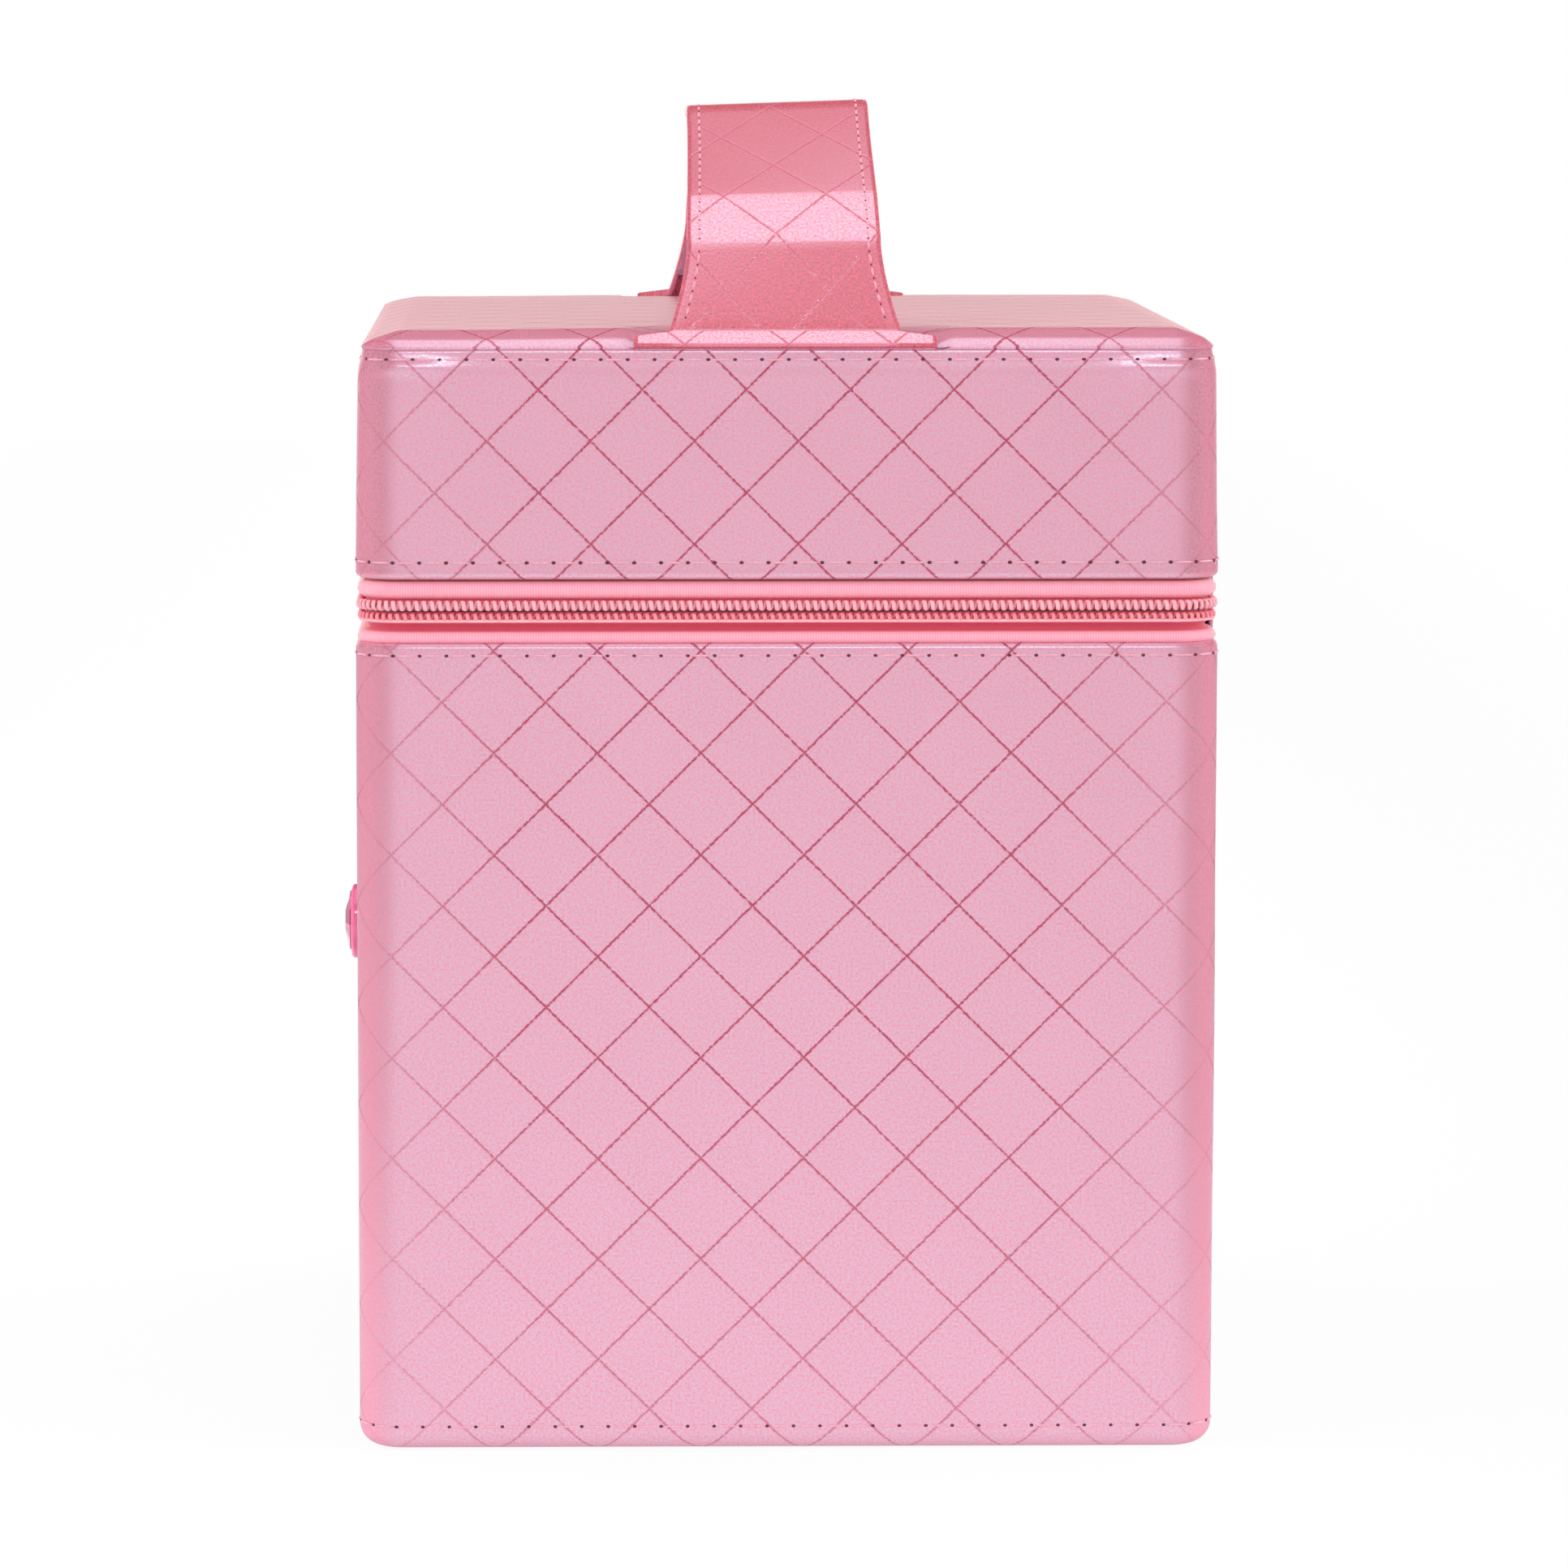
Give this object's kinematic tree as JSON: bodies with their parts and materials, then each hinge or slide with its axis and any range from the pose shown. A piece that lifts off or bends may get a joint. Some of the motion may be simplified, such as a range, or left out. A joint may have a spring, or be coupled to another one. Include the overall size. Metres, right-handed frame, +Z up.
{
  "type": "makeup storage case",
  "caption": "Upright zipped vanity case with a padded hinged lid, mirror, arched carrying strap, shallow divided tray and a deep front drawer with a round knob.",
  "frame": {"origin": "centre of the base, on the surface that the case stands on", "axes": "+Z up; the drawer and its knob face -Y; the lid is hinged along the back at +Y; the strap runs along X"},
  "size_m": [0.2041, 0.1773, 0.2686],
  "materials": {
    "pearl_leathercloth": "pink leathercloth with a pearl coat and fine grain, printed with thin raspberry diamond lines",
    "greyboard": "pressed greyboard, cut edges",
    "beech": "planed beech strip, waxed",
    "velvet_lining": "short-pile velvet, pale pink",
    "zip_tape": "woven polyester tape, deep pink",
    "zip_teeth": "nylon coil, pink",
    "nickel_plate": "nickel-plated zinc, polished",
    "foam": "soft foam sheet",
    "mirror_glass": "silvered glass mirror",
    "webbing": "stiff woven webbing",
    "knob_enamel": "glossy pale pink",
    "knob_stone": "clear magenta facets",
    "zinc_steel": "zinc-plated steel"
  },
  "bodies": {
    "case": {"body_cover": "pearl_leathercloth", "base_cover": "pearl_leathercloth", "wall_board": "greyboard", "front_board": "greyboard", "base_board": "greyboard", "bay_side_left": "greyboard", "bay_side_right": "greyboard", "shelf_board": "greyboard", "runner_left": "beech", "runner_right": "beech", "drawer_stop": "beech", "tray": "velvet_lining", "tray_divider_long": "velvet_lining", "tray_divider_cross": "velvet_lining", "zip_tape_lower": "zip_tape", "zip_teeth_lower": "zip_teeth", "zip_stop_lower": "nickel_plate", "hinge_strip_lower": "pearl_leathercloth"},
    "lid": {"lid_cover": "pearl_leathercloth", "lid_top_cover": "pearl_leathercloth", "lid_wall_board": "greyboard", "lid_top_board": "greyboard", "lid_padding": "foam", "lid_lining": "velvet_lining", "mirror_frame": "pearl_leathercloth", "mirror_glass": "mirror_glass", "handle_cover": "pearl_leathercloth", "handle_core": "webbing", "handle_lining": "pearl_leathercloth", "zip_tape_upper": "zip_tape", "zip_teeth_upper": "zip_teeth", "zip_stop_upper": "nickel_plate", "hinge_strip_upper": "pearl_leathercloth"},
    "drawer": {"drawer_front_board": "greyboard", "drawer_front_cover": "pearl_leathercloth", "drawer_side_left": "greyboard", "drawer_side_right": "greyboard", "drawer_back": "greyboard", "drawer_bottom": "greyboard", "drawer_lining": "velvet_lining", "drawer_divider_long": "velvet_lining", "drawer_divider_cross": "velvet_lining", "drawer_knob": "knob_enamel", "knob_stone": "knob_stone", "knob_screw": "zinc_steel"},
    "slider": {"zip_slider": "nickel_plate"},
    "pull": {"zip_pull": "nickel_plate"}
  },
  "joints": [
    {"name": "lid_hinge", "type": "hinge", "parent": "case", "child": "lid", "pos_m": [0, 0.086, 0.1693], "axis": [-1, 0, 0], "range_deg": [0, 170]},
    {"name": "drawer_slide", "type": "slide", "parent": "case", "child": "drawer", "axis": [0, -1, 0], "range_m": [0, 0.105]},
    {"name": "slider_run", "type": "slide", "parent": "case", "child": "slider", "axis": [0, -1, 0], "range_m": [0, 0.122]},
    {"name": "pull_swing", "type": "hinge", "parent": "slider", "child": "pull", "pos_m": [-0.1024, 0.057, 0.1693], "axis": [0, 0, 1], "range_deg": [0, 180]}
  ]
}
